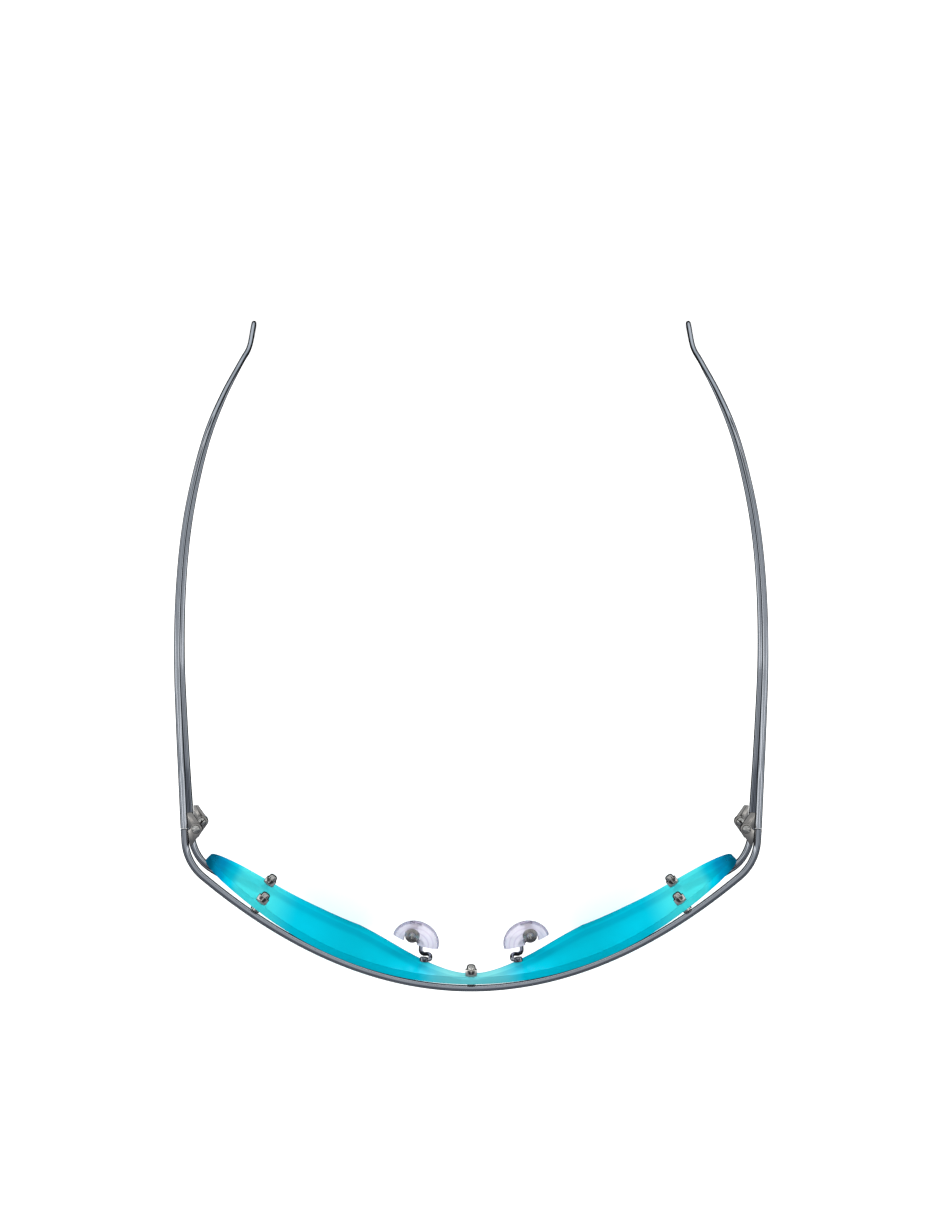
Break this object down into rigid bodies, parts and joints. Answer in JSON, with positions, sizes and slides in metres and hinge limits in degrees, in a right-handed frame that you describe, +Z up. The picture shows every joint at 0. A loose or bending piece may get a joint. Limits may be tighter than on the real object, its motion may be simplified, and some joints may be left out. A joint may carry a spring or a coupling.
{
  "type": "shield sunglasses",
  "caption": "One-piece wrap-round tinted lens bolted to a chrome brow wire, with folding looped wire temples and clear pivoting nose pads on bent wire arms.",
  "frame": {"origin": "middle of the footprint on the surface the glasses stand on", "axes": "+X to the wearer's left, across the face; +Y back along the temples; +Z up"},
  "size_m": [0.1502, 0.1704, 0.0473],
  "materials": {
    "lens_tint": "glossy blue tinted moulded lens, darker at its lateral ends and paler across the bridge",
    "wire_chrome": "polished silver-grey plated round wire",
    "hinge_steel": "fine blanked hinge plate, lightly polished, slightly warm",
    "fastener_steel": "turned miniature screws and domed nuts, bright faces and dark recesses",
    "washer_nylon": "translucent nylon washer",
    "pad_silicone": "clear silicone with a faint lilac tint"
  },
  "bodies": {
    "front": {"arm_screw_left": "fastener_steel", "arm_screw_right": "fastener_steel", "brow_wire": "wire_chrome", "cap_nut_centre": "fastener_steel", "cap_nut_lower_left": "fastener_steel", "cap_nut_lower_right": "fastener_steel", "cap_nut_upper_left": "fastener_steel", "cap_nut_upper_right": "fastener_steel", "front_leaf_lower_left": "hinge_steel", "front_leaf_lower_right": "hinge_steel", "front_leaf_upper_left": "hinge_steel", "front_leaf_upper_right": "hinge_steel", "hinge_screw_lower_left": "fastener_steel", "hinge_screw_lower_right": "fastener_steel", "hinge_screw_upper_left": "fastener_steel", "hinge_screw_upper_right": "fastener_steel", "lens": "lens_tint", "lower_wire_left": "wire_chrome", "lower_wire_right": "wire_chrome", "pad_arm_left": "wire_chrome", "pad_arm_right": "wire_chrome", "pad_box_left": "hinge_steel", "pad_box_right": "hinge_steel", "pad_screw_left": "fastener_steel", "pad_screw_right": "fastener_steel", "stud_centre": "fastener_steel", "stud_lower_left": "fastener_steel", "stud_lower_right": "fastener_steel", "stud_upper_left": "fastener_steel", "stud_upper_right": "fastener_steel", "washer_centre": "washer_nylon", "washer_lower_left": "washer_nylon", "washer_lower_right": "washer_nylon", "washer_upper_left": "washer_nylon", "washer_upper_right": "washer_nylon"},
    "temple_left": {"temple_leaf_lower_left": "hinge_steel", "temple_leaf_upper_left": "hinge_steel", "temple_wire_left": "wire_chrome"},
    "temple_right": {"temple_leaf_lower_right": "hinge_steel", "temple_leaf_upper_right": "hinge_steel", "temple_wire_right": "wire_chrome"},
    "pad_left": {"nose_pad_left": "pad_silicone", "pad_lug_left": "hinge_steel"},
    "pad_right": {"nose_pad_right": "pad_silicone", "pad_lug_right": "hinge_steel"}
  },
  "joints": [
    {"name": "temple_left_fold", "type": "hinge", "parent": "front", "child": "temple_left", "pos_m": [0.0692, -0.04446, 0.042], "axis": [0, 0, 1], "range_deg": [0, 90]},
    {"name": "temple_right_fold", "type": "hinge", "parent": "front", "child": "temple_right", "pos_m": [-0.0692, -0.04446, 0.042], "axis": [0, 0, -1], "range_deg": [0, 80]},
    {"name": "pad_left_rock", "type": "hinge", "parent": "front", "child": "pad_left", "pos_m": [0.0152, -0.07416, 0.0215], "axis": [0, 0, 1], "range_deg": [-8, 8]},
    {"name": "pad_right_rock", "type": "hinge", "parent": "front", "child": "pad_right", "pos_m": [-0.0152, -0.07416, 0.0215], "axis": [0, 0, -1], "range_deg": [-8, 8]}
  ]
}
